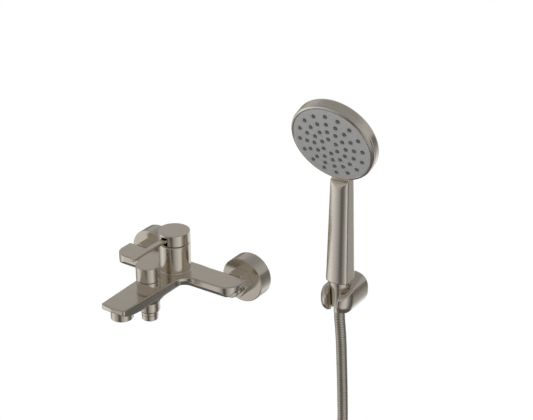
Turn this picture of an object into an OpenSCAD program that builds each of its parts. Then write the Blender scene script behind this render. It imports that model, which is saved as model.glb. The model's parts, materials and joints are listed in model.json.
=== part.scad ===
// Wall mounted bath and shower mixer with hand shower, wall bracket and hose.
// The wall is the plane y = 0 and the fittings stand on its -Y side. +Z is up.
// The origin is on the wall, midway between the hot and cold inlet axes.

/* [Inlets] */
// Distance between the hot and cold inlet axes
inlet_spacing = 150; // [140:1:160]
// Radius of each round wall flange
flange_r = 30; // [27:0.5:34]
// Depth of each wall flange
flange_depth = 22; // [18:1:23]

/* [Mixer body] */
// Half length of the cross arm
arm_half = 95; // [92:1:100]
// Distance from the wall to the back edge of the arm
arm_back = 39.4; // [38:0.2:42]
// Front to back width of the arm
arm_depth = 35.6; // [33:0.2:38]
// Height of the flat top face above the inlet axes
top_z = 14.7; // [13:0.1:16]
// Height of the upright band along the edge of the top
band_h = 5; // [4.5:0.1:6]
// Distance from the wall to the lip of the spout
spout_reach = 191; // [182:1:205]
// Half width of the spout where it leaves the arm
spout_root_half = 22; // [21:0.2:24]
// Half width of the spout at the lip
spout_tip_half = 17.9; // [17:0.1:20]

/* [Valve tower and lever] */
// Radius of the upright tower
tower_r = 20.5; // [20:0.1:22]
// Distance from the wall to the tower axis
tower_y = 64.2; // [62:0.2:67]
// Height of the tower's top edge
tower_top = 52.9; // [52:0.1:54]
// Height of the flat top of the turning cap
cap_top = 69; // [68:0.2:71]
// Distance from the wall to the tip of the lever
lever_reach = 149; // [135:1:155]
// Height of the top face of the lever blade
lever_top = 64; // [63.6:0.1:64.2]
// Thickness of the lever blade
lever_t = 3.5; // [3:0.1:4]

/* [Diverter and outlets] */
// Radius of the diverter knob
knob_r = 15.2; // [14:0.1:16]
// Distance from the wall to the diverter and shower outlet axis
diverter_y = 118.7; // [117:0.1:121]
// Height of the flat top of the diverter knob
knob_top = 43.3; // [40:0.1:44]
// Distance from the wall to the aerator axis
aerator_y = 171.5; // [168:0.5:173]
// Radius of the aerator housing
aerator_r = 13.9; // [13.2:0.1:14.5]

/* [Hand shower] */
// Sideways distance from the mixer's middle to the bracket
bracket_x = 226; // [200:1:300]
// Radius of the shower head
head_r = 52.5; // [50:0.5:56]
// Tilt of the spray face against the handle
head_tilt = 19.7; // [18:0.1:21]
// Lean of the handle away from the wall
handle_lean = 1; // [0:0.5:2]
// Radius of the handle at its lower end
handle_r = 17; // [16.5:0.1:17.5]
// Width of the wall bracket
bracket_w = 42; // [41:0.5:44]

/* [Hose] */
// Outer diameter of the hose
hose_d = 13.5; // [13:0.1:14]
// Radius of the hose's coil at the middle of the turns
coil_r = 74; // [72:1:80]

/* [Hidden] */
$fn = 72;

// Standard pipe threads, as plain cylinders at their major radius
g_half_r = 10.48;
g_three_quarter_r = 13.2;
nut_across_flats = 30;
side_x = inlet_spacing / 2;
wall_stub_rise = 7.5;

arm_front = arm_back + arm_depth;
arm_mid = arm_back + arm_depth / 2;
band_z = top_z - band_h;
belly = 14.2;
end_rise = 21;
corner_r = 19;
crotch_r = 17.5;
inlet_channel_z = 3.5;
inlet_channel_y = 56;
mixed_channel_z = 4.2;
spout_channel_z = 7;

cartridge_r = 17.4;
tower_bore_r = 18.12;
pivot_z = 40;
valve_ports = [[-7, 6.6], [7, 6.6], [0, -7.8]];
lever_half = 4.3;
lever_waist = 3.6;

bracket_y = 33.5;
bracket_screw_pitch = 18;
handle_foot_z = 52;
cheek_half = 14.3;
cheek_slant = 1.1;
cone_top_r = 12.3;
cone_foot_r = 9.9;
cone_len = 35;
cone_collar = 5;
ferrule_len = 44;
head_y = -23.3;
head_z = 183.6;
head_depth = 14.2;
face_crown = 3.8;
nozzle_pitch = 10.05;
nozzle_rings = [6, 12, 16, 16];
nozzle_turns = [30, 0, 0, 0];

coil_x = bracket_x - 2.4;
coil_z = -322.4;
coil_y0 = 17;
coil_pitch = 15;
coil_turns = 2.46;
coil_start = 145;
coil_tail = 45;

// Route of the hose from the ferrule to the coil
hose_route = [[226, -32.7, 8.1], [226.2, -31.8, -4], [226.7, -29.8, -20], [227, -27.2, -42],
    [227, -25, -65], [227, -22.8, -88], [227, -20.8, -110], [227, -19.2, -132],
    [227, -17.8, -152], [226.3, -17, -172], [223, -17, -188], [217.2, -17, -202],
    [209.5, -17, -214], [200, -17, -227.5], [190, -17, -241.5], [180, -17, -256],
    [170.5, -17, -269.5], [163, -17, -280]];

function arc(cx, cy, r, a0, a1, n = 12) =
    [for (i = [0:n]) let (a = a0 + (a1 - a0) * i / n) [cx + r * cos(a), cy + r * sin(a)]];
function mirrored(pts) = [for (i = [len(pts) - 1:-1:0]) [-pts[i][0], pts[i][1]]];
function unit(v) = v / norm(v);

module nickel() { color([0.72, 0.68, 0.62]) children(); }
module brass() { color([0.78, 0.62, 0.33]) children(); }
module plastic() { color([0.35, 0.36, 0.38]) children(); }
module rubber() { color([0.12, 0.12, 0.13]) children(); }

// A cylinder that points away from the wall, from depth y0 to depth y1
module from_wall(y0, y1, r, r2 = undef) {
    translate([0, -y0, 0]) rotate([90, 0, 0])
        cylinder(h = y1 - y0, r1 = r, r2 = is_undef(r2) ? r : r2);
}
module tube_z(z0, z1, ro, ri) {
    translate([0, 0, z0]) difference() {
        cylinder(h = z1 - z0, r = ro);
        translate([0, 0, -1]) cylinder(h = z1 - z0 + 2, r = ri);
    }
}
module rod_z(z0, z1, r, r2 = undef) {
    translate([0, 0, z0]) cylinder(h = z1 - z0, r1 = r, r2 = is_undef(r2) ? r : r2);
}

// ---- Wall connections ----
module wall_union(x) {
    brass() translate([x, 0, 0]) difference() {
        union() {
            translate([0, 0, wall_stub_rise]) from_wall(-14, 6, g_half_r);
            translate([0, 0, wall_stub_rise / 2]) from_wall(6, 14, 17);
            from_wall(14, 30.5, g_three_quarter_r);
        }
        translate([0, 0, wall_stub_rise]) from_wall(-15, 11, 7.8);
        from_wall(9, 32, 8.5);
    }
}
module hot_wall_union() { wall_union(-side_x); }
module cold_wall_union() { wall_union(side_x); }

module flange(x) {
    rim = 1;
    nickel() translate([x, 0, 0]) rotate([90, 0, 0]) rotate_extrude() polygon(concat(
        [[flange_r - 1.6, 0], [flange_r, 0]],
        arc(flange_r - rim, flange_depth - rim, rim, 0, 90, 6),
        [[g_three_quarter_r + 0.1, flange_depth], [g_three_quarter_r + 0.1, flange_depth - 1.6],
            [flange_r - 1.6, flange_depth - 1.6]]));
}
module hot_flange() { flange(-side_x); }
module cold_flange() { flange(side_x); }

module union_nut(x) {
    hex_r = nut_across_flats / 2 / cos(30);
    nut_back = flange_depth + 0.15;
    nickel() translate([x, 0, 0]) difference() {
        intersection() {
            translate([0, -nut_back, 0]) rotate([90, 0, 0]) cylinder(h = 39 - nut_back, r = hex_r, $fn = 6);
            from_wall(nut_back, 39, hex_r + 9.7, hex_r - 0.6);
            from_wall(nut_back, 39, hex_r - 0.2, hex_r + 9.7);
        }
        from_wall(nut_back - 1, 36, g_three_quarter_r + 0.02);
        from_wall(nut_back - 1, 40, 10.2);
    }
}
module hot_union_nut() { union_nut(-side_x); }
module cold_union_nut() { union_nut(side_x); }

module union_washers() {
    rubber() for (x = [-side_x, side_x]) translate([x, 0, 0]) difference() {
        from_wall(30.5, 33, 12);
        from_wall(30, 34, 8.5);
    }
}
module tailpiece(x) {
    brass() translate([x, 0, 0]) difference() {
        union() {
            from_wall(33, 36, 12.2);
            from_wall(35, 46, 9.9);
        }
        from_wall(32, 47, 7);
    }
}
module hot_tailpiece() { tailpiece(-side_x); }
module cold_tailpiece() { tailpiece(side_x); }

// ---- Mixer body ----
// Half of the top outline, from the back edge round to the middle of the lip
function half_outline() = concat(
    [[0, -arm_back]],
    arc(arm_half - 1.5, -arm_back - 1.5, 1.5, 90, 0, 4),
    arc(arm_half - corner_r, -arm_front + corner_r, corner_r, 0, -90, 14),
    arc(spout_root_half + crotch_r, -arm_front - crotch_r, crotch_r, 90, 180, 14),
    arc(spout_tip_half - 2.5, -spout_reach + 4.4, 2.5, 0, -75, 5),
    [[0, -spout_reach]]);

module top_outline() {
    half = half_outline();
    polygon(concat(half, mirrored(half)));
}
// Bellied section, upright above the band's lower edge
module belly_section(half) {
    polygon(concat([[half, band_z + 3]],
        [for (i = [0:20]) let (a = -180 * i / 20) [half * cos(a), band_z + belly * sin(a)]],
        [[-half, band_z + 3]]));
}
// Underside of the arm's right half seen from the front: it curves up to the band at the end
function end_curve() = [for (i = [0:8]) let (u = 1 - i / 8)
    [arm_half - end_rise * (1 - u), band_z - (belly + 0.5) * (1 - u * u)]];
module arm_bar() {
    intersection() {
        translate([-arm_half - 5, -arm_mid, 0]) rotate([90, 0, 90])
            linear_extrude(2 * arm_half + 10) belly_section(arm_depth / 2 + 0.3);
        translate([0, -arm_back + 2, 0]) rotate([90, 0, 0]) linear_extrude(arm_depth + 4)
            polygon(concat([[arm_half + 3, band_z + 4], [arm_half + 3, band_z]], end_curve(),
                mirrored(end_curve()), [[-arm_half - 3, band_z], [-arm_half - 3, band_z + 4]]));
    }
}
module spout_bar() {
    intersection() {
        translate([0, -arm_back - 10, 0]) rotate([90, 0, 0])
            linear_extrude(spout_reach - arm_back) belly_section(spout_root_half + 0.6);
        rotate([90, 0, 90]) linear_extrude(60, center = true)
            polygon([[-40, -5], [-100, -4.2], [-150, 0], [-176, 3.6], [-186, 6.6], [-192, 10],
                    [-205, 11], [-205, 25], [-40, 25]]);
    }
}
module body_form() {
    intersection() {
        translate([0, 0, -6]) linear_extrude(top_z + 6) top_outline();
        union() {
            translate([-120, -210, band_z]) cube([240, 180, 20]);
            arm_bar();
            spout_bar();
            // Filler under the two rounded inner corners
            translate([-37, -92, 3]) cube([74, 22, 10]);
        }
    }
    // Spigots for the two inlets
    for (x = [-side_x, side_x]) translate([x, 0, 0]) {
        from_wall(arm_back - 0.4, 49, 12.5);
        from_wall(49, 60, 12.5, 5);
    }
    translate([0, -tower_y, 0]) rod_z(5, tower_top, tower_r);
    // Boss of the shower outlet
    translate([0, -diverter_y, 0]) rotate_extrude() polygon(concat(
        [[0, 5], [19, 5]], arc(21.3, -6, 8, 100, 180, 8), arc(10.8, -18.5, 2.5, 0, -90, 5),
        [[0, -21]]));
}
module water_ways() {
    // Seat of each inlet, then the channel to the valve
    for (x = [-side_x, side_x]) translate([x, 0, 0]) {
        from_wall(30, 46, 9.9);
        from_wall(45, 58, 5);
    }
    for (s = [-1, 1]) {
        translate([s * valve_ports[1][0], -inlet_channel_y, inlet_channel_z]) rotate([0, s * 90, 0])
            cylinder(h = side_x - valve_ports[1][0], r = 3.6);
        translate([s * valve_ports[1][0], valve_ports[1][1] - tower_y, 0]) rod_z(inlet_channel_z, 9, 3.2);
    }
    // Mixed water way to the diverter and on to the aerator
    translate([0, valve_ports[2][1] - tower_y, 0]) rod_z(mixed_channel_z, 9, 3.2);
    translate([0, 0, mixed_channel_z]) from_wall(70, diverter_y, 3.2);
    translate([0, 0, spout_channel_z]) from_wall(diverter_y, aerator_y, 3.4);
}
module body_shape() {
    difference() {
        body_form();
        translate([0, -tower_y, 0]) {
            rod_z(8.5, 60, cartridge_r + 0.2);
            rod_z(38, 60, tower_bore_r);
        }
        water_ways();
        translate([0, -diverter_y, 0]) {
            rod_z(-1, 20, 9);
            rod_z(-12, 0, 6);
            rod_z(-25, -11, g_half_r + 0.02);
        }
        translate([0, -aerator_y, 0]) {
            rod_z(-9, 9.1, 12);
            rod_z(-9, 5.5, aerator_r + 0.2);
        }
    }
}
module mixer_body() { nickel() body_shape(); }

// ---- Ceramic cartridge ----
module at_valve() { translate([0, -tower_y, 0]) children(); }
module port_holes(z0, z1, r) {
    for (p = valve_ports) translate([p[0], p[1], 0]) rod_z(z0, z1, r);
}
module cartridge_seals() {
    rubber() at_valve() for (p = valve_ports) translate([p[0], p[1], 0]) tube_z(8.5, 10, 4.4, 3.2);
}
module cartridge_base() {
    plastic() at_valve() difference() {
        rod_z(8.6, 14, 14.4);
        port_holes(7, 10, 4.4);
        port_holes(7, 15, 3.2);
    }
}
module fixed_ceramic_disc() {
    color([0.93, 0.92, 0.88]) at_valve() difference() {
        rod_z(14, 17.5, 14.4);
        port_holes(13, 18, 3);
    }
}
module moving_ceramic_disc() {
    color([0.86, 0.85, 0.82]) at_valve() difference() {
        rod_z(17.55, 21, 10.6);
        rod_z(17, 19.5, 5.5);
    }
}
module disc_carrier() {
    plastic() at_valve() difference() {
        rod_z(21, 29.5, 9.5);
        rod_z(23, 30, 2.6, 4.8);
    }
}
module cartridge_housing() {
    plastic() at_valve() difference() {
        union() {
            rod_z(8.6, 38, cartridge_r);
            rod_z(37, 45.8, 12.8);
        }
        rod_z(8, 30, 14.5);
        rod_z(29, 37.2, 9, 4.6);
        translate([0, 0, pivot_z]) sphere(r = 5.08);
        rod_z(42.4, 46, 5.4, 8.6);
    }
}
module cartridge_nut() {
    brass() at_valve() difference() {
        tube_z(38, 46, tower_bore_r, 12.85);
        for (a = [0:60:300]) rotate([0, 0, a]) translate([15.5, 0, 0]) rod_z(43, 47, 1.4);
    }
}
module cartridge_spindle() {
    brass() at_valve() union() {
        translate([0, 0, pivot_z]) sphere(r = 5);
        translate([-3.2, -3.2, pivot_z + 4]) cube([6.4, 6.4, 16]);
        rod_z(pivot_z, pivot_z + 5, 3.1);
        rod_z(24, pivot_z, 2.2);
    }
}

// ---- Cap and lever ----
module handle_cap() {
    edge = 0.8;
    skirt_r = tower_bore_r - 0.07;
    outer_r = tower_r + 0.1;
    nickel() at_valve() difference() {
        rotate_extrude() polygon(concat(
            [[15.8, 46.4], [skirt_r, 46.4], [skirt_r, tower_top + 1.2],
                [outer_r - 0.4, tower_top + 1.2], [outer_r, tower_top + 1.5]],
            arc(outer_r - edge, cap_top - edge, edge, 0, 90, 5),
            [[0, cap_top], [0, cap_top - 2.3], [18.2, cap_top - 2.3], [18.2, 56.5], [15.8, 54]]));
        translate([-lever_half - 0.6, -30, 54.9]) cube([2 * lever_half + 1.2, 20, 11]);
    }
}
module lever() {
    tip = lever_reach - tower_y;
    half = concat([[0, -6], [lever_half, -6], [lever_half, -24]],
        [for (i = [1:7]) let (t = i / 8) [lever_half - (lever_half - lever_waist) * sin(180 * t),
            -24 - (tip - 28) * t]],
        [[lever_half, -tip + 4]], arc(lever_half - 2, -tip + 2, 2, 0, -90, 4), [[0, -tip]]);
    nickel() at_valve() difference() {
        union() {
            translate([0, 0, lever_top - lever_t]) linear_extrude(lever_t)
                polygon(concat(half, mirrored(half)));
            rod_z(lever_top - 9, lever_top + 0.3, 9);
        }
        translate([-3.2, -3.2, 50]) cube([6.4, 6.4, 10]);
        translate([0, 0, 57.5]) rotate([-90, 0, 0]) cylinder(h = 12, r = 2);
    }
}
module lever_set_screw() {
    color([0.45, 0.45, 0.46]) at_valve() translate([0, 3.2, 57.5]) rotate([-90, 0, 0]) difference() {
        cylinder(h = 5, r = 1.98);
        translate([0, 0, 3]) cylinder(h = 3, r = 1.15, $fn = 6);
    }
}

// ---- Diverter ----
module at_diverter() { translate([0, -diverter_y, 0]) children(); }
module diverter_cartridge() {
    plastic() at_diverter() difference() {
        union() {
            rod_z(-0.9, top_z, 8.95);
            rod_z(top_z - 1, 24.4, 8.2);
        }
        rod_z(3, 26, 4.06);
        rod_z(-2, 3.5, 4.8);
        translate([0, 0, 5]) rotate([90, 0, 0]) cylinder(h = 30, r = 3, center = true);
    }
}
module diverter_collar() {
    edge = 0.5;
    nickel() at_diverter() rotate_extrude() polygon(concat(
        [[8.95, top_z], [knob_r - 0.2, top_z]],
        arc(knob_r - 0.2 - edge, 23.1 - edge, edge, 0, 90, 4),
        [[8.25, 23.1], [8.25, top_z + 0.5]]));
}
module diverter_spindle() {
    brass() at_diverter() rod_z(-0.8, 39, 4);
}
module diverter_knob() {
    edge = 0.7;
    nickel() at_diverter() difference() {
        union() {
            rotate_extrude() polygon(concat(
                [[knob_r - 2.2, 24], [knob_r - 0.4, 24], [knob_r, 24.3]],
                arc(knob_r - edge, knob_top - edge, edge, 0, 90, 5),
                [[0, knob_top], [0, knob_top - 3], [knob_r - 2.2, knob_top - 3]]));
            tube_z(25.5, knob_top - 2, 7.5, 4);
        }
        translate([0, 0, 33]) rotate([-90, 0, 0]) cylinder(h = 20, r = 2.1);
        rod_z(20, 39.2, 4);
    }
}
module diverter_set_screw() {
    color([0.45, 0.45, 0.46]) at_diverter() translate([0, 4, 33]) rotate([-90, 0, 0]) difference() {
        cylinder(h = 8, r = 2.05);
        translate([0, 0, 6]) cylinder(h = 3, r = 1.15, $fn = 6);
    }
}

// ---- Outlets ----
module at_aerator() { translate([0, -aerator_y, 0]) children(); }
module aerator_housing() {
    edge = 0.6;
    nickel() at_aerator() rotate_extrude() polygon(concat(
        [[11.9, 8.4], [11.9, 5.4], [aerator_r, 5.4]],
        arc(aerator_r - edge, -6.1 + edge, edge, 0, -90, 4),
        [[11.4, -6.1], [10.6, -5.2], [10.6, -4.6], [11, -4.6], [11, 8.4]]));
}
module aerator_insert() {
    color([0.62, 0.64, 0.66]) at_aerator() difference() {
        rod_z(-4.6, 6.9, 11);
        rod_z(-5, -3.4, 9.8);
        rod_z(3, 7, 9.8);
        for (n = [1:4]) for (i = [0:n * 6 - 1]) rotate([0, 0, i * 60 / n])
            translate([n * 2.1, 0, 0]) rod_z(-4, 4, 0.6, $fn = 16);
    }
}
module aerator_washer() { rubber() at_aerator() tube_z(6.9, 9, 10.95, 8.5); }
module shower_outlet_nipple() {
    nickel() at_diverter() rotate_extrude() polygon([
        [7.4, -12.2], [g_half_r, -12.2], [g_half_r, -24.2], [9.7, -24.6], [9.7, -25.4],
        [g_half_r, -25.8], [g_half_r, -31.9], [9.7, -32.7], [7.4, -32.7]]);
}
module outlet_o_ring() { rubber() at_diverter() tube_z(-12.2, -11, 10.2, 7.5); }

// ---- Wall bracket ----
// Frame of the handle: its foot at the origin and its axis along +Z
module hand_frame() {
    translate([bracket_x, -bracket_y, handle_foot_z]) rotate([handle_lean, 0, 0]) children();
}
function power(v, e) = sign(v) * pow(abs(v), e);
// Squared-off oval, half as wide as w and as high as h
function oval(w, h, a0, a1, n) =
    [for (i = [0:n]) let (a = a0 + (a1 - a0) * i / n) [w * power(cos(a), 0.8), h * power(sin(a), 0.8)]];
// A bar of oval section that ends in a turned nose, with a sloping crowned top and a rounded front
module bracket_form() {
    half = bracket_w / 2;
    nose_y = bracket_y + 3;
    mid_z = 29;
    translate([bracket_x, 0, 0]) intersection() {
        union() {
            translate([0, 0, mid_z]) rotate([90, 0, 0]) linear_extrude(nose_y)
                polygon(oval(half, 20.4, 0, 352.5, 47));
            translate([0, -nose_y, mid_z]) rotate_extrude($fn = 96)
                polygon(concat([[0, -20.4]], [for (q = oval(half, 20.4, -84, 84, 22)) q], [[0, 20.4]]));
        }
        translate([0, 10, 50.4 - 46]) rotate([90 + 6, 0, 0]) cylinder(h = 80, r = 46, $fn = 180);
        translate([-40, 0, 0]) rotate([90, 0, 90]) linear_extrude(80) polygon(concat([[10, 0], [10, 60]],
            [for (i = [0:18]) let (a = 90 + 10 * i)
                [-bracket_y + 23 * cos(a), 27 + (a < 180 ? 16 : 17) * sin(a)]], [[-bracket_y, 0]]));
    }
}
module bracket_body() {
    slot = hose_d + 1.1;
    taper = (cone_top_r - cone_foot_r) / (cone_len - cone_collar);
    nickel() difference() {
        bracket_form();
        hand_frame() rod_z(-cone_collar - 0.3, 6, cone_top_r + 1.1);
        hand_frame() rod_z(-60, 0, cone_foot_r + 0.15 - 25 * taper, cone_top_r + 0.15 + 5 * taper);
        translate([bracket_x, -bracket_y, 0]) linear_extrude(70) polygon([
            [-slot / 2, 0], [-slot / 2, -12], [-slot / 2 - 1.5, -30],
            [slot / 2 + 1.5, -30], [slot / 2, -12], [slot / 2, 0]]);
        translate([bracket_x - 14, -4, 16]) cube([28, 5, 26]);
        translate([bracket_x, -2, 5]) rod_z(0, 14, 1.6);
    }
}
module bracket_plate() {
    color([0.6, 0.6, 0.6]) difference() {
        translate([bracket_x - 13.8, -3.8, 16.2]) cube([27.6, 3.8, 25.6]);
        at_bracket_screws() {
            from_wall(-1, 5, 2.25);
            from_wall(1.6, 3.85, 2.25, 4.5);
        }
        translate([bracket_x, -2, 16]) rod_z(-1, 3, 1.6);
    }
}
module at_bracket_screws() {
    for (s = [-1, 1]) translate([bracket_x + s * bracket_screw_pitch / 2, 0, 29]) children();
}
module bracket_screws() {
    color([0.6, 0.6, 0.6]) at_bracket_screws() difference() {
        union() {
            from_wall(-14, 2, 2);
            from_wall(1.7, 3.7, 2, 4);
        }
        for (a = [0, 90]) rotate([0, a, 0]) translate([-2.2, -4.5, -0.4]) cube([4.4, 2.2, 0.8]);
    }
}
module bracket_grub_screw() {
    color([0.45, 0.45, 0.46]) translate([bracket_x, -2, 0]) difference() {
        rod_z(9.5, 19, 1.58);
        translate([0, 0, 9]) cylinder(h = 2.2, r = 0.9, $fn = 6);
    }
}

// ---- Hand shower ----
module head_frame() {
    translate([0, head_y, head_z]) rotate([-(90 - head_tilt), 0, 0]) children();
}
module handle_form() {
    intersection() {
        rod_z(0, 160, handle_r, handle_r - 4.4);
        // Flatter front
        translate([0, 9.4, 0]) rod_z(-1, 160, 24, 19.6);
        // Flat cheeks that close in towards the head
        translate([cheek_half, 0, 0]) rotate([0, -cheek_slant, 0]) translate([-80, -40, -5])
            cube([80, 80, 190]);
        translate([-cheek_half, 0, 0]) rotate([0, cheek_slant, 0]) translate([0, -40, -5])
            cube([80, 80, 190]);
        // Side outline, which curves in under the face and behind it
        rotate([90, 0, 90]) linear_extrude(60, center = true) polygon(concat(
            [[-19, -1], [-19, 60]], arc(8.4, 115, 22, 180, 125, 8), [[1, 150], [4, 152], [9, 147],
            [12.6, 139], [13.9, 129], [19, 110], [19, -1]]));
    }
}
module head_outer() {
    round_r = 4;
    back_edge = head_depth - 0.8 - round_r;
    rotate_extrude($fn = 120) polygon(concat([[0, 2], [head_r, 2]],
        arc(head_r - round_r, back_edge, round_r, 0, 75, 6), [[30, head_depth], [0, head_depth + 0.8]]));
}
module handset_shell() {
    nickel() hand_frame() difference() {
        union() {
            handle_form();
            head_frame() head_outer();
        }
        head_frame() {
            translate([0, 0, 1]) cylinder(h = 5.5, r = head_r - 3.2, $fn = 120);
            rod_z(6, 11, 42, 30);
            translate([0, 0, -40]) cylinder(h = 42, r = head_r + 0.01, $fn = 120);
        }
        rod_z(14, 112, 6.5);
        translate([0, 1.5, 0]) rod_z(105, 146, 4);
        rod_z(-1, 15, g_half_r + 0.02);
    }
}
module handset_face_ring() {
    nickel() hand_frame() head_frame() rotate_extrude($fn = 120) polygon([
        [head_r - 3.6, -2.4], [head_r - 3.1, -2.9], [head_r - 2.4, -2.9], [head_r - 0.7, -1.9],
        [head_r, 0], [head_r, 2], [head_r - 3.6, 2]]);
}
module at_nozzles() {
    for (k = [0:3]) for (i = [0:nozzle_rings[k] - 1])
        rotate([0, 0, nozzle_turns[k] + 360 * i / nozzle_rings[k]])
            translate([(k + 1) * nozzle_pitch, 0, 0]) children();
}
// The face plate is crowned: its front edge is level with the ring and its middle stands forward
function crown(r) = -2.5 - face_crown * (1 - pow(r / (head_r - 3.7), 2));
module spray_plate() {
    color([0.6, 0.6, 0.61]) hand_frame() head_frame() difference() {
        rotate_extrude($fn = 120) polygon(concat([[0, 0.4]],
            [for (i = [0:10]) let (r = (head_r - 3.7) * i / 10) [r, crown(r)]], [[head_r - 3.7, 0.4]]));
        at_nozzles() rod_z(-8, 2, 2.42, $fn = 24);
    }
}
module spray_nozzles() {
    rubber() hand_frame() head_frame() difference() {
        union() {
            translate([0, 0, 0.4]) cylinder(h = 1.5, r = head_r - 8);
            for (k = [0:3]) for (i = [0:nozzle_rings[k] - 1])
                rotate([0, 0, nozzle_turns[k] + 360 * i / nozzle_rings[k]])
                    translate([(k + 1) * nozzle_pitch, 0, 0])
                        rod_z(crown((k + 1) * nozzle_pitch) - 1.2, 1, 1.9, 2.4, $fn = 24);
        }
        at_nozzles() rod_z(-9, 3, 0.5, $fn = 16);
    }
}
module distribution_plate() {
    plastic() hand_frame() head_frame() difference() {
        translate([0, 0, 2]) cylinder(h = 3, r = head_r - 3.4, $fn = 120);
        translate([0, 0, 1]) cylinder(h = 5, r = 7);
        for (i = [0:7]) rotate([0, 0, 22.5 + 45 * i]) translate([26, 0, 1]) cylinder(h = 5, r = 3);
    }
}
module handset_inlet() {
    brass() hand_frame() difference() {
        rod_z(-9, 14, g_half_r);
        rod_z(-10, 15, 6.5);
    }
}
module handset_washer() { rubber() hand_frame() tube_z(-12, -9, 9.8, 6); }

// ---- Hose ----
module hose_cone_nut() {
    taper = (cone_top_r - cone_foot_r) / (cone_len - cone_collar);
    nickel() hand_frame() difference() {
        union() {
            rod_z(-cone_collar, -0.3, cone_top_r + 0.7);
            rod_z(-cone_len, -cone_collar, cone_foot_r, cone_top_r);
        }
        rod_z(-14.2, 1, g_half_r + 0.03);
        rod_z(-cone_len - 1, -10, 7.06);
    }
}
module hose_top_ferrule() {
    nickel() hand_frame() difference() {
        union() {
            rod_z(-14.1, -12.1, 9.8);
            rod_z(-ferrule_len, -13, 7);
        }
        rod_z(-ferrule_len - 1, -10, 4);
    }
}
// Tube of radius r swept along the points of a path
module swept_tube(path, r, sides = 10) {
    n = len(path);
    rings = [for (i = [0:n - 1])
        let (t = unit(path[min(i + 1, n - 1)] - path[max(i - 1, 0)]),
            u = unit(cross(t, [0, 1, 0])), v = cross(t, u))
        for (k = [0:sides - 1]) let (a = 360 * k / sides) path[i] + r * (cos(a) * u + sin(a) * v)];
    sides_faces = [for (i = [0:n - 2]) for (k = [0:sides - 1]) let (j = (k + 1) % sides)
        [i * sides + k, i * sides + j, (i + 1) * sides + j, (i + 1) * sides + k]];
    polyhedron(rings, concat(sides_faces, [[for (k = [sides - 1:-1:0]) k]],
        [[for (k = [0:sides - 1]) (n - 1) * sides + k]]));
}
module hose_tube() { nickel() swept_tube(hose_route, hose_d / 2); }
module at_coil() { translate([coil_x, 0, coil_z]) children(); }
module hose_coil() {
    depth = coil_pitch * coil_turns + hose_d;
    nickel() at_coil() rotate([90, 0, 0]) translate([0, 0, coil_y0 - hose_d / 2]) difference() {
        cylinder(h = depth, r = coil_r + hose_d / 2);
        translate([0, 0, -1]) cylinder(h = depth + 2, r = coil_r - hose_d / 2);
    }
}
module hose_tie() {
    depth = coil_pitch * coil_turns + hose_d;
    wall = 1.2;
    gap = 0.3;
    inner = [hose_d + 2 * gap, depth + 2 * gap];
    rubber() at_coil() rotate([0, -200, 0])
        translate([coil_r, -coil_y0 + hose_d / 2 - depth / 2, 0]) difference() {
            cube([inner[0] + 2 * wall, inner[1] + 2 * wall, 9], center = true);
            cube([inner[0], inner[1], 12], center = true);
        }
}
// Frame at the last point of the coil, with +Z along the hose
module coil_end_frame() {
    a = coil_start + 360 * coil_turns;
    translate([coil_x + coil_r * cos(a), -coil_y0 - coil_pitch * coil_turns, coil_z + coil_r * sin(a)])
        rotate([0, atan2(-sin(a), cos(a)), 0]) children();
}
module hose_tail() { nickel() coil_end_frame() rod_z(0, coil_tail, hose_d / 2); }
module end_frame() { coil_end_frame() translate([0, 0, coil_tail]) children(); }
module hose_end_ferrule() {
    nickel() end_frame() difference() {
        union() {
            rod_z(0, 22, 7);
            rod_z(20, 22, 9.8);
        }
        rod_z(-1, 23, 4);
    }
}
module hose_end_nut() {
    nickel() end_frame() difference() {
        intersection() {
            translate([0, 0, 15]) cylinder(h = 19, r = 13.6, $fn = 6);
            rod_z(15, 34, 12.8, 16);
            rod_z(15, 34, 16, 12.8);
        }
        rod_z(14, 35, 7.06);
        rod_z(19.9, 22.3, 9.9);
        rod_z(22.2, 35, g_half_r + 0.05);
    }
}

hot_wall_union();
cold_wall_union();
hot_flange();
cold_flange();
hot_union_nut();
cold_union_nut();
union_washers();
hot_tailpiece();
cold_tailpiece();
mixer_body();
cartridge_seals();
cartridge_base();
fixed_ceramic_disc();
moving_ceramic_disc();
disc_carrier();
cartridge_housing();
cartridge_nut();
cartridge_spindle();
handle_cap();
lever();
lever_set_screw();
diverter_cartridge();
diverter_collar();
diverter_spindle();
diverter_knob();
diverter_set_screw();
aerator_housing();
aerator_insert();
aerator_washer();
shower_outlet_nipple();
outlet_o_ring();
bracket_body();
bracket_plate();
bracket_screws();
bracket_grub_screw();
handset_shell();
handset_face_ring();
spray_plate();
spray_nozzles();
distribution_plate();
handset_inlet();
handset_washer();
hose_cone_nut();
hose_top_ferrule();
hose_tube();
hose_coil();
hose_tail();
hose_tie();
hose_end_ferrule();
hose_end_nut();
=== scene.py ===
"""Looks of a wall mounted bath mixer with its hand shower, wall bracket and hose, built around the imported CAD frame.

The shape functions work in millimetres in the row frame, and MM turns their results into metres.
A solid with soft edges is written as a distance function, negative inside, and shape_mesh() makes its surface.
"""

import json
import math

import bpy
import numpy as np
from mathutils import Matrix, Vector


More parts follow.
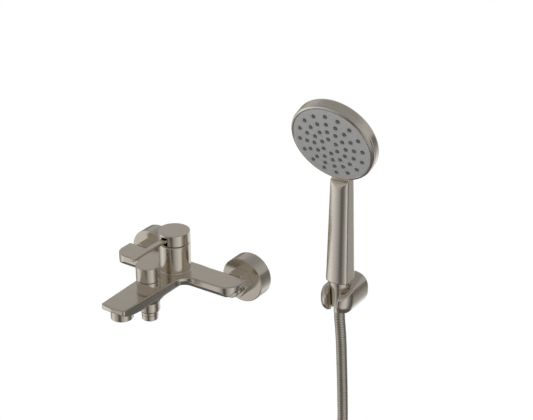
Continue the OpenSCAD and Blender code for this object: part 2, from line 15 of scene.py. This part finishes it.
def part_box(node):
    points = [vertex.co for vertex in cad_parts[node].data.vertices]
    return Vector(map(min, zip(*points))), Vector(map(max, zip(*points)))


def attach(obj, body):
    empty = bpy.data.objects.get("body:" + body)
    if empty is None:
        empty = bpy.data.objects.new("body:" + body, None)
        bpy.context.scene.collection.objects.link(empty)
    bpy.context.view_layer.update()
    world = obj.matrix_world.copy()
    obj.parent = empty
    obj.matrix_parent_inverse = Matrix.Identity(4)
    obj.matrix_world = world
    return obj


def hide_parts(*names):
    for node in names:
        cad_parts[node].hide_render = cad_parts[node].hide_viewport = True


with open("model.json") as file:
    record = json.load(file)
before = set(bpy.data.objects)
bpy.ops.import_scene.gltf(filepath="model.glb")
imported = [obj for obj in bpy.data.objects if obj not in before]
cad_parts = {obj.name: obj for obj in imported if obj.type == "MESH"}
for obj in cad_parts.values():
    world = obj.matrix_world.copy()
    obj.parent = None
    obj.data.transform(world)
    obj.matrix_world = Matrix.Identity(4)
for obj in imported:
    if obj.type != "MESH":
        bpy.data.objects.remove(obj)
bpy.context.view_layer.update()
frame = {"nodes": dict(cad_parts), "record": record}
MM = 0.001


def box_mm(node):
    """Lowest and highest corner of a CAD node, in millimetres."""
    low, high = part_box(node)
    return np.array(low) / MM, np.array(high) / MM


# ---- Camera ----
CAMERA_PLACE = (0.831955, -1.109607, 0.713974)
CAMERA_AZIMUTH = 33.47
CAMERA_ELEVATION = 24.88
CAMERA_LENS = 78.81


def make_camera():
    data = bpy.data.cameras.new("camera")
    data.sensor_width = 36
    data.lens = CAMERA_LENS
    data.clip_end = 100
    camera = bpy.data.objects.new("camera", data)
    camera.location = CAMERA_PLACE
    camera.rotation_euler = (math.radians(90 - CAMERA_ELEVATION), 0, math.radians(CAMERA_AZIMUTH))
    bpy.context.scene.collection.objects.link(camera)
    bpy.context.scene.camera = camera


make_camera()


# ---- Mesh helpers ----
def mesh_object(name, points, faces, smooth=True):
    """A new object from points in millimetres."""
    mesh = bpy.data.meshes.new(name)
    mesh.from_pydata((np.asarray(points, float) * MM).tolist(), [], faces)
    mesh.polygons.foreach_set("use_smooth", [smooth] * len(mesh.polygons))
    mesh.update()
    made = bpy.data.objects.new(name, mesh)
    bpy.context.scene.collection.objects.link(made)
    return made


def catmull_rom(points, per_span):
    """A smooth curve through the points, as an array."""
    p = np.array(points, float)
    p = np.vstack([2 * p[0] - p[1], p, 2 * p[-1] - p[-2]])
    t = np.linspace(0, 1, per_span, endpoint=False)[:, None]
    spans = []
    for a, b, c, d in zip(p, p[1:], p[2:], p[3:]):
        spans.append(0.5 * (2 * b + (c - a) * t + (2 * a - 5 * b + 4 * c - d) * t**2
                            + (3 * b - a - 3 * c + d) * t**3))
    return np.vstack([*spans, p[-2:-1]])


def even_steps(path, step):
    """The same path, with points a fixed step apart, and the distance along it of each."""
    along = np.concatenate([[0], np.cumsum(np.linalg.norm(np.diff(path, axis=0), axis=1))])
    s = np.linspace(0, along[-1], max(2, int(round(along[-1] / step))))
    return np.stack([np.interp(s, along, path[:, k]) for k in range(3)], 1), s


def tube(name, path, along, radius_at, sides):
    """A closed tube along a path. radius_at(distance, angle) gives its radius."""
    tangents = np.gradient(path, axis=0)
    tangents /= np.linalg.norm(tangents, axis=1)[:, None]
    across = [np.cross(tangents[0], (0, 1, 0))]
    for t in tangents[1:]:
        side = across[-1] - t * (across[-1] @ t)
        across.append(side / np.linalg.norm(side))
    across = np.array(across)
    other = np.cross(tangents, across)
    angle = np.arange(sides) * 2 * math.pi / sides
    r = radius_at(along[:, None], angle[None, :])[..., None]
    ring = across[:, None] * np.cos(angle)[None, :, None] + other[:, None] * np.sin(angle)[None, :, None]
    points = (path[:, None] + r * ring).reshape(-1, 3)
    n = len(path)
    i, k = np.meshgrid(np.arange(n - 1), np.arange(sides), indexing="ij")
    j = (k + 1) % sides
    quads = np.stack([i * sides + k, i * sides + j, (i + 1) * sides + j, (i + 1) * sides + k], -1)
    faces = quads.reshape(-1, 4).tolist()
    faces += [list(range(sides - 1, -1, -1)), list(range((n - 1) * sides, n * sides))]
    return mesh_object(name, points, faces)


# ---- Hose ----
HOSE_D = 13.5
HOSE_ROUTE = [(226, -32.7, 8.1), (226.2, -31.8, -4), (226.7, -29.8, -20), (227, -27.2, -42),
              (227, -25, -65), (227, -22.8, -88), (227, -20.8, -110), (227, -19.2, -132),
              (227, -17.8, -152), (226.3, -17, -172), (223, -17, -188), (217.2, -17, -202),
              (209.5, -17, -214), (200, -17, -227.5), (190, -17, -241.5), (180, -17, -256),
              (170.5, -17, -269.5), (163, -17, -280)]
COIL_CENTRE = (223.6, -322.4)
COIL_R = 74
COIL_FRONT = 17
COIL_PITCH = 15
COIL_TURNS = 2.46
COIL_START = 145
COIL_TAIL = 45


def hose_path():
    """The hose's centreline: its listed route, the turns of the coil, and the straight tail."""
    turn = np.linspace(0, COIL_TURNS, int(COIL_TURNS * 40))[1:]
    a = np.radians(COIL_START + 360 * turn)
    coil = np.stack([COIL_CENTRE[0] + COIL_R * np.cos(a), -COIL_FRONT - COIL_PITCH * turn,
                     COIL_CENTRE[1] + COIL_R * np.sin(a)], 1)
    out = np.array([-math.sin(a[-1]), 0, math.cos(a[-1])])
    tail = coil[-1] + out * np.linspace(COIL_TAIL / 3, COIL_TAIL, 3)[:, None]
    return catmull_rom(HOSE_ROUTE + coil.tolist() + tail.tolist(), 8)


def make_hose():
    """Braided metal wrap: two families of strands that cross all along the hose."""
    strand_pitch = 3.7
    strands = 5
    relief = 0.95
    path, along = even_steps(hose_path(), strand_pitch / 6)

    def radius_at(s, angle):
        turn = strands * angle / (2 * math.pi)
        one = np.abs(np.cos(math.pi * (s / strand_pitch + turn)))
        two = np.abs(np.cos(math.pi * (s / strand_pitch - turn)))
        return HOSE_D / 2 - relief * (1 - np.maximum(one, two) ** 2)

    hose = tube("hose", path, along, radius_at, 40)
    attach(hose, "hose")
    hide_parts("hose_tube", "hose_coil", "hose_tail")
    return hose


# ---- Distance functions ----
def soft_and(a, b, r):
    """Both solids, with a rounded outer edge of radius r."""
    u, v = np.maximum(a + r, 0), np.maximum(b + r, 0)
    return np.minimum(-r, np.maximum(a, b)) + np.hypot(u, v)


def soft_or(a, b, r):
    """Either solid, with a hollow fillet of radius r where they meet."""
    u, v = np.maximum(r - a, 0), np.maximum(r - b, 0)
    return np.maximum(r, np.minimum(a, b)) - np.hypot(u, v)


def cut(a, b, r=0.0):
    """Solid a without solid b, with its new edge rounded to r."""
    return soft_and(a, -b, r) if r else np.maximum(a, -b)


def between(v, low, high):
    return np.maximum(low - v, v - high)


def rod(u, v, along, low, high, radius, edge=0.0):
    """A cylinder: u and v are across it, along is along it."""
    wall = np.hypot(u, v) - radius
    ends = between(along, low, high)
    return soft_and(wall, ends, edge) if edge else np.maximum(wall, ends)


CORNERS = [(i, j, k) for i in (0, 1) for j in (0, 1) for k in (0, 1)]
EDGES = [(a, b) for a in range(8) for b in range(a + 1, 8)
         if sum(abs(p - q) for p, q in zip(CORNERS[a], CORNERS[b])) == 1]


def surface_start(d, axes):
    """Active grid cells and one surface point in each, from the signs at their corners."""
    shape = [n - 1 for n in d.shape]
    corner = [d[i:i + shape[0], j:j + shape[1], k:k + shape[2]] for i, j, k in CORNERS]
    inside = sum((c < 0).astype(np.int8) for c in corner)
    cells = np.argwhere((inside > 0) & (inside < 8))
    value = np.stack([c[tuple(cells.T)] for c in corner], 1)
    origin = np.stack([axes[k][cells[:, k]] for k in range(3)], 1)
    step = axes[0][1] - axes[0][0]
    total = np.zeros_like(origin)
    count = np.zeros(len(cells))
    for a, b in EDGES:
        crossed = (value[:, a] < 0) != (value[:, b] < 0)
        gap = np.where(crossed, value[:, a] - value[:, b], 1)
        t = np.where(crossed, value[:, a] / gap, 0)[:, None]
        at = origin + step * (np.array(CORNERS[a]) + t * (np.array(CORNERS[b]) - np.array(CORNERS[a])))
        total += np.where(crossed[:, None], at, 0)
        count += crossed
    return cells, total / count[:, None]


def surface_quads(d, cells):
    """One quad round every grid edge that the surface crosses."""
    index = np.full([n - 1 for n in d.shape], -1)
    index[tuple(cells.T)] = np.arange(len(cells))
    quads = []
    for axis in range(3):
        b, c = (axis + 1) % 3, (axis + 2) % 3
        low = np.take(d, range(d.shape[axis] - 1), axis)
        high = np.take(d, range(1, d.shape[axis]), axis)
        at = np.argwhere((low < 0) != (high < 0))
        at = at[(at[:, b] > 0) & (at[:, c] > 0) & (at[:, b] < d.shape[b] - 1) & (at[:, c] < d.shape[c] - 1)]
        around = []
        for db, dc in ((1, 1), (0, 1), (0, 0), (1, 0)):
            cell = at.copy()
            cell[:, b] -= db
            cell[:, c] -= dc
            around.append(index[tuple(cell.T)])
        quad = np.stack(around, 1)
        leaving = low[tuple(at.T)] < 0
        quads.append(np.where(leaving[:, None], quad, quad[:, ::-1]))
    return np.vstack(quads)


def settle(points, distance, step):
    """Moves points onto the surface itself, never far from where they were."""
    start = points.copy()
    h = 0.02 * step
    for _ in range(5):
        d = distance(*points.T)
        slope = np.stack([(distance(*(points + h * e).T) - distance(*(points - h * e).T)) / (2 * h)
                          for e in np.eye(3)], 1)
        size = np.maximum((slope**2).sum(1), 0.05)
        points = points - 0.9 * (d / size)[:, None] * slope
        points = start + np.clip(points - start, -0.7 * step, 0.7 * step)
    return points


def shape_mesh(name, distance, low, high, step, place=None):
    """The surface of a distance function inside a box. place is a matrix from its own frame to the row's."""
    axes = [np.arange(a - 2 * step, b + 2.5 * step, step) for a, b in zip(low, high)]
    d = distance(*np.meshgrid(*axes, indexing="ij"))
    cells, points = surface_start(d, axes)
    points = settle(points, distance, step)
    faces = surface_quads(d, cells)
    if place is not None:
        points = points @ np.array(place.to_3x3()).T + np.array(place.translation)
    return mesh_object(name, points, faces.tolist())


# ---- Mixer body ----
BODY_LOW, BODY_HIGH = box_mm("mixer_body")
ARM_HALF = BODY_HIGH[0]
SPOUT_REACH = -BODY_LOW[1]
TOWER_TOP = BODY_HIGH[2]
ARM_BACK = 39.4
ARM_DEPTH = 35.6
TOP_Z = 14.7
BAND_Z = 9.7
BELLY = 14.2
TOWER_Y = 64.2
TOWER_R = 20.5
TOWER_BORE = 18.12
DIVERTER_Y = 118.7
AERATOR_Y = 171.5
SIDE_X = 75


def body_outline(x, y):
    """Seen from above: a cross arm with round front corners, and the spout, which narrows to its lip."""
    front_corner, back_corner, crotch = 19, 1.5, 17.5
    middle = -ARM_BACK - ARM_DEPTH / 2
    r = np.where(y < middle, front_corner, back_corner)
    qx = np.abs(x) - ARM_HALF + r
    qy = np.abs(y - middle) - ARM_DEPTH / 2 + r
    arm = np.minimum(np.maximum(qx, qy), 0) + np.hypot(np.maximum(qx, 0), np.maximum(qy, 0)) - r
    root_y, root_half, tip_half = -75, 22, 17.9
    lean = (root_half - tip_half) / (SPOUT_REACH + root_y)
    side = (np.abs(x) - root_half - (y - root_y) * lean) * math.cos(math.atan(lean))
    lip = -SPOUT_REACH - y + 0.16 * np.abs(x) - 0.4
    spout = soft_and(soft_and(side, lip, 2.5), y + 50, 1)
    return soft_or(arm, spout, crotch)


def body_belly(x, y, z):
    """The bellied underside of the arm, which rises at its ends, and of the spout."""
    dz = np.minimum(z - BAND_Z, 0) / BELLY
    middle = -ARM_BACK - ARM_DEPTH / 2
    arm = (np.hypot((y - middle) / (ARM_DEPTH / 2 + 0.3), dz) - 1) * BELLY
    end = np.clip((np.abs(x) - ARM_HALF) / 21 + 1, 0, 1.1)
    rise = (BAND_Z - (BELLY + 0.5) * (1 - end**2) - z) / np.sqrt(1 + (1.4 * end) ** 2)
    arm = soft_and(arm, rise, 2)
    spout = (np.hypot(x / 22.6, dz) - 1) * BELLY
    rise = np.interp(y, [-205, -192, -186, -176, -150, -100, -40], [11, 10, 6.6, 3.6, 0, -4.2, -5])
    spout = np.maximum(soft_and(spout, rise - z, 1), y + 45)
    return np.minimum(soft_or(arm, spout, 6), BAND_Z - z)


def body_distance(x, y, z):
    edge = 0.9
    form = soft_and(body_outline(x, y), np.maximum(body_belly(x, y, z), -6 - z), 0.4)
    form = soft_and(form, z - TOP_Z, edge)
    tower = rod(x, y + TOWER_Y, z, 5, TOWER_TOP, TOWER_R, 0.7)
    form = soft_or(form, tower, 0.2)
    form = soft_or(form, rod(x, y + DIVERTER_Y, z, -21, 6, 13.3, 2.5), 8)
    form = soft_or(form, rod(np.abs(x) - SIDE_X, z, y, -50, -ARM_BACK + 0.4, 12.5, 0.5), 1.5)
    form = cut(form, rod(x, y + TOWER_Y, z, 8.5, 70, TOWER_BORE), 0.5)
    form = cut(form, rod(x, y + DIVERTER_Y, z, -1, 30, 9))
    form = cut(form, rod(x, y + AERATOR_Y, z, -20, 5.5, 14.1))
    return cut(form, rod(np.abs(x) - SIDE_X, z, y, -46, 0, 9.9))


def make_mixer_body():
    body = shape_mesh("mixer_casting", body_distance, BODY_LOW, BODY_HIGH, 1.0)
    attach(body, "mixer")
    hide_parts("mixer_body")
    return body


# ---- Lever ----
LEVER_LOW, LEVER_HIGH = box_mm("lever")
LEVER_TOP = LEVER_HIGH[2] - 0.3


def lever_distance(x, y, z):
    reach = -LEVER_LOW[1] - TOWER_Y
    t = np.clip((-y - TOWER_Y - 24) / (reach - 28), 0, 1)
    half = 4.3 - 0.7 * np.sin(math.pi * t)
    blade = soft_and(np.abs(x) - half, between(y, LEVER_LOW[1], -TOWER_Y - 6), 2)
    blade = soft_and(blade, between(z, LEVER_TOP - 3.5, LEVER_TOP), 0.6)
    hub = rod(x, y + TOWER_Y, z, LEVER_TOP - 9, LEVER_TOP + 0.3, 9, 0.6)
    socket = np.maximum(between(z, 40, 60), np.maximum(np.abs(x), np.abs(y + TOWER_Y)) - 3.2)
    screw_hole = rod(x, z - 57.5, y + TOWER_Y, 0, 12, 2)
    return cut(cut(soft_or(blade, hub, 1.5), socket), screw_hole)


def make_lever():
    lever = shape_mesh("lever_blade", lever_distance, LEVER_LOW, LEVER_HIGH, 0.6)
    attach(lever, "lever_arm")
    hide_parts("lever")
    return lever


# ---- Hand shower and bracket ----
BRACKET_X = 226
HANDLE_FOOT = (BRACKET_X, -33.5, 52)
HANDLE_LEAN = 1
HEAD_TILT = 19.7
HEAD_PLACE = (-23.3, 183.6)
HEAD_R = 52.5
HEAD_DEPTH = 14.2
HANDLE_R = 17
HANDLE_CLOSES = 4.4 / 160
CHEEK = 14.3
CHEEK_SLANT = 0.0192
CONE_FOOT_R = 9.9
CONE_TAPER = 0.08
HAND = Matrix.Translation(HANDLE_FOOT) @ Matrix.Rotation(math.radians(HANDLE_LEAN), 4, "X")


def head_axes(x, y, z):
    """Distance from the head's axis, and along it, back from the face."""
    tilt = math.radians(HEAD_TILT)
    dy, dz = y - HEAD_PLACE[0], z - HEAD_PLACE[1]
    up = dy * math.sin(tilt) * -1 + dz * math.cos(tilt)
    back = dy * math.cos(tilt) + dz * math.sin(tilt)
    return np.hypot(x, up), back


def handset_distance(x, y, z):
    radius, back = head_axes(x, y, z)
    grip = np.hypot(x, y) - (HANDLE_R - HANDLE_CLOSES * z)
    grip = soft_and(grip, np.hypot(x, y - 9.4) - 24 + HANDLE_CLOSES * z, 0.5)
    grip = soft_and(grip, np.abs(x) - CHEEK + CHEEK_SLANT * z, 0.5)
    front = np.interp(z, [60, 115, 119, 122, 125, 128, 130.5, 133, 150, 153, 165],
                      [-19, -13.6, -13.2, -12.5, -11.2, -9.5, -7.6, -4.2, 1, 5, 12])
    rear = np.interp(z, [110, 129, 139, 147, 153], [19, 13.9, 12.6, 9, 4])
    grip = soft_and(grip, np.maximum((front - y) * 0.8, (y - rear) * 0.8), 1.2)
    grip = soft_and(grip, between(z, 0, 153), 0.8)
    dome = HEAD_DEPTH + 0.8 * (1 - (radius / HEAD_R) ** 2)
    head = np.maximum(soft_and(radius - HEAD_R, back - dome, 4), 2 - back)
    form = cut(soft_or(grip, head, 4), np.maximum(radius - HEAD_R - 1, back - 2))
    form = cut(form, np.maximum(radius - HEAD_R + 3.2, between(back, -10, 6.5)))
    form = cut(form, rod(x, y, z, -5, 15, 10.5))
    return cut(form, rod(x, y, z, 14, 108, 6.5))


def make_handset_shell():
    shell = shape_mesh("handset_casing", handset_distance, (-53, -44, -1), (53, 18, 238), 1.0, HAND)
    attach(shell, "handset")
    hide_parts("handset_shell")
    return shell


def bracket_distance(x, y, z):
    """An oval bar with a turned nose, a crowned top that slopes down, and a rounded front."""
    half, high, nose, middle = 21, 20.4, 36.5, 29
    x = x - BRACKET_X
    off = np.hypot(x, np.maximum(-y - nose, 0))
    bar = (((off / half) ** 2.5 + (np.abs(z - middle) / high) ** 2.5) ** 0.4 - 1) * high
    slope = math.radians(6)
    crown = np.hypot(x, (z - 4.4) * math.cos(slope) - (y - 10) * math.sin(slope)) - 46
    front = np.where(z > 27, (z - 27) / 16, (z - 27) / 17)
    front = np.where(y < -33.5, (np.hypot((y + 33.5) / 23, front) - 1) * 16.5, -9)
    form = soft_and(soft_and(soft_and(bar, front, 3), crown, 1), y, 0.8)
    lean = math.radians(HANDLE_LEAN)
    fy, fz = y - HANDLE_FOOT[1], z - HANDLE_FOOT[2]
    axis = -fy * math.sin(lean) + fz * math.cos(lean)
    off = fy * math.cos(lean) + fz * math.sin(lean)
    cone = np.hypot(x, off) - (CONE_FOOT_R + 0.15 + (axis + 35) * CONE_TAPER)
    form = cut(form, cone, 0.6)
    form = cut(form, np.maximum(np.abs(x) - 7.3 - np.clip((-fy - 12) / 12, 0, 2.1), fy), 1.5)
    return cut(form, np.maximum(np.abs(x) - 14, np.maximum(-4 - y, between(z, 16, 42))))


def make_bracket():
    low, high = box_mm("bracket_body")
    bracket = shape_mesh("bracket_casting", bracket_distance, low, high, 0.7)
    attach(bracket, "mixer")
    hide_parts("bracket_body")
    return bracket


# ---- Materials ----
def link(tree, source, target):
    tree.links.new(source, target)


def new_material(name, color, metallic, roughness):
    """A Principled material, its node tree and its shader."""
    material = bpy.data.materials.new(name)
    material.use_nodes = True
    tree = material.node_tree
    shader = tree.nodes["Principled BSDF"]
    shader.inputs["Base Color"].default_value = (*color, 1)
    shader.inputs["Metallic"].default_value = metallic
    shader.inputs["Roughness"].default_value = roughness
    return material, tree, shader


def grain(tree, scale, detail=3.0):
    """Noise in the object's own metres. scale gives the grain's fineness along each axis."""
    place = tree.nodes.new("ShaderNodeTexCoord")
    stretch = tree.nodes.new("ShaderNodeMapping")
    stretch.inputs["Scale"].default_value = scale
    noise = tree.nodes.new("ShaderNodeTexNoise")
    noise.inputs["Scale"].default_value = 1
    noise.inputs["Detail"].default_value = detail
    link(tree, place.outputs["Object"], stretch.inputs["Vector"])
    link(tree, stretch.outputs["Vector"], noise.inputs["Vector"])
    return noise.outputs["Fac"]


def vary_roughness(tree, shader, value, low, high):
    spread = tree.nodes.new("ShaderNodeMapRange")
    spread.inputs["To Min"].default_value = low
    spread.inputs["To Max"].default_value = high
    spread.inputs["From Min"].default_value = 0.3
    spread.inputs["From Max"].default_value = 0.7
    link(tree, value, spread.inputs["Value"])
    link(tree, spread.outputs["Result"], shader.inputs["Roughness"])


def vary_color(tree, shader, value, one, two):
    mix = tree.nodes.new("ShaderNodeMix")
    mix.data_type = "RGBA"
    mix.inputs["A"].default_value = (*one, 1)
    mix.inputs["B"].default_value = (*two, 1)
    link(tree, value, mix.inputs["Factor"])
    link(tree, mix.outputs["Result"], shader.inputs["Base Color"])


def add_bump(tree, shader, value, distance, strength=0.3):
    bump = tree.nodes.new("ShaderNodeBump")
    bump.inputs["Distance"].default_value = distance
    bump.inputs["Strength"].default_value = strength
    link(tree, value, bump.inputs["Height"])
    link(tree, bump.outputs["Normal"], shader.inputs["Normal"])


def brushed(name, one, two, low, high, scale=(60, 60, 2500)):
    material, tree, shader = new_material(name, one, 1, (low + high) / 2)
    vary_roughness(tree, shader, grain(tree, scale), low, high)
    vary_color(tree, shader, grain(tree, (30, 30, 30)), one, two)
    add_bump(tree, shader, grain(tree, scale, 2), 0.00002)
    return material


def moulded(name, one, two, roughness, fine=900):
    material, tree, shader = new_material(name, one, 0, roughness)
    vary_color(tree, shader, grain(tree, (60, 60, 60)), one, two)
    vary_roughness(tree, shader, grain(tree, (200, 200, 200)), roughness - 0.06, roughness + 0.06)
    add_bump(tree, shader, grain(tree, (fine, fine, fine)), 0.00005)
    return material


MATERIALS = {
    "nickel_brass": brushed("brushed_nickel", (0.66, 0.6, 0.51), (0.69, 0.63, 0.545), 0.15, 0.22),
    "plated_plastic": brushed("brushed_nickel_shell", (0.76, 0.7, 0.61), (0.79, 0.73, 0.645), 0.2, 0.28),
    "raw_brass": brushed("machined_brass", (0.62, 0.42, 0.15), (0.68, 0.48, 0.2), 0.25, 0.35),
    "steel": brushed("stainless_steel", (0.5, 0.5, 0.49), (0.56, 0.56, 0.55), 0.22, 0.32),
    "hose_wrap": brushed("hose_braid", (0.5, 0.455, 0.39), (0.62, 0.57, 0.49), 0.25, 0.36),
    "dark_plastic": moulded("dark_plastic", (0.03, 0.033, 0.036), (0.04, 0.043, 0.047), 0.5),
    "ceramic": moulded("ceramic", (0.84, 0.82, 0.76), (0.88, 0.86, 0.8), 0.2),
    "aerator_plastic": moulded("aerator_plastic", (0.42, 0.44, 0.46), (0.47, 0.49, 0.51), 0.4),
    "spray_grey": moulded("spray_grey", (0.27, 0.268, 0.264), (0.3, 0.298, 0.293), 0.4),
    "nozzle_rubber": moulded("nozzle_rubber", (0.085, 0.085, 0.085), (0.11, 0.11, 0.11), 0.5),
    "black_rubber": moulded("black_rubber", (0.02, 0.02, 0.02), (0.03, 0.03, 0.03), 0.6),
}


def paint(piece, slot):
    piece.data.materials.clear()
    piece.data.materials.append(MATERIALS[slot])


def paint_frame():
    for row in frame["record"]["subparts"]:
        paint(frame["nodes"][row["node"]], row["material_slot"])


# ---- Studio ----
def emitter(name, strength):
    material = bpy.data.materials.new(name)
    material.use_nodes = True
    tree = material.node_tree
    tree.nodes.clear()
    glow = tree.nodes.new("ShaderNodeEmission")
    glow.inputs["Strength"].default_value = strength
    out = tree.nodes.new("ShaderNodeOutputMaterial")
    link(tree, glow.outputs["Emission"], out.inputs["Surface"])
    return material


def make_floor():
    half = 14000
    z = box_mm("hose_coil")[0][2] - 30
    floor = mesh_object("floor", [(-half, -half, z), (half, -half, z), (half, half, z), (-half, half, z)],
                        [(0, 1, 2, 3)])
    floor.data.materials.append(emitter("pale_floor", 1.0))
    floor.visible_glossy = False


# Brightness of the studio around the object: (degrees clockwise from the camera's side, brightness)
STUDIO_RING = [(-180, 0.2), (-150, 0.25), (-130, 0.35), (-113, 0.6), (-96, 0.95), (-84, 0.85), (-70, 0.66),
               (-50, 0.48), (-39, 0.38), (-29, 0.18), (-19, 0.05), (-10, 0.18), (0, 0.38), (10, 0.5),
               (20, 0.6), (34, 0.7), (46, 0.78), (56, 0.55), (64, 0.36), (72, 0.24), (81, 0.15), (91, 0.08),
               (101, 0.16), (114, 0.45), (128, 0.8), (147, 1.05), (165, 0.6), (180, 0.2)]
RING_DISTANCE = 2200


def make_ring():
    """An upright ring of graded light, seen only in reflections."""
    high, low = 300, -2100
    around = np.arange(-180, 181, 3)
    turn = np.radians(CAMERA_AZIMUTH - 90 + around)
    x, y = RING_DISTANCE * np.cos(turn), RING_DISTANCE * np.sin(turn)
    points = [(a, b, h) for h in (low, high) for a, b in zip(x, y)]
    n = len(around)
    faces = [(i, i + 1, n + i + 1, n + i) for i in range(n - 1)]
    ring = mesh_object("studio_ring", points, faces)
    knots, values = zip(*STUDIO_RING)
    glow = np.tile(np.interp(around, knots, values), 2)
    ring.data.attributes.new("brightness", "FLOAT", "POINT").data.foreach_set("value", glow)
    material = emitter("studio_ring", 1.0)
    tree = material.node_tree
    brightness = tree.nodes.new("ShaderNodeAttribute")
    brightness.attribute_name = "brightness"
    link(tree, brightness.outputs["Fac"], tree.nodes["Emission"].inputs["Strength"])
    ring.data.materials.append(material)
    ring.visible_camera = ring.visible_diffuse = ring.visible_shadow = False


def make_world():
    world = bpy.data.worlds.new("studio")
    world.use_nodes = True
    tree = world.node_tree
    place = tree.nodes.new("ShaderNodeTexCoord")
    split = tree.nodes.new("ShaderNodeSeparateXYZ")
    ramp = tree.nodes.new("ShaderNodeValToRGB")
    half = tree.nodes.new("ShaderNodeMapRange")
    half.inputs["From Min"].default_value = -1
    link(tree, place.outputs["Generated"], split.inputs["Vector"])
    link(tree, split.outputs["Z"], half.inputs["Value"])
    link(tree, half.outputs["Result"], ramp.inputs["Fac"])
    link(tree, ramp.outputs["Color"], tree.nodes["Background"].inputs["Color"])
    stops = [(0, 0.1), (0.12, 0.14), (0.3, 0.35), (0.5, 0.45), (0.72, 0.47), (0.85, 0.3), (1, 0.3)]
    while len(ramp.color_ramp.elements) < len(stops):
        ramp.color_ramp.elements.new(0.5)
    for element, (at, value) in zip(ramp.color_ramp.elements, stops):
        element.position = at
        element.color = (value, value, value, 1)
    bpy.context.scene.world = world


def make_lamp(name, place, size, power):
    data = bpy.data.lights.new(name, "AREA")
    data.size = size
    data.energy = power
    lamp = bpy.data.objects.new(name, data)
    lamp.location = place
    lamp.rotation_euler = (Vector((0.1, 0, 0.05)) - Vector(place)).to_track_quat("-Z", "Y").to_euler()
    lamp.visible_glossy = False
    bpy.context.scene.collection.objects.link(lamp)


def make_studio():
    make_floor()
    make_ring()
    make_world()
    make_lamp("key", (-0.9, -1.8, 1.7), 1.4, 26)
    make_lamp("fill", (1.9, -1.2, 0.9), 1.6, 12)
    bpy.context.scene.view_settings.view_transform = "Standard"


# ---- Build ----
paint(make_hose(), "hose_wrap")
paint(make_mixer_body(), "nickel_brass")
paint(make_lever(), "nickel_brass")
paint(make_handset_shell(), "plated_plastic")
paint(make_bracket(), "nickel_brass")
paint_frame()
make_studio()
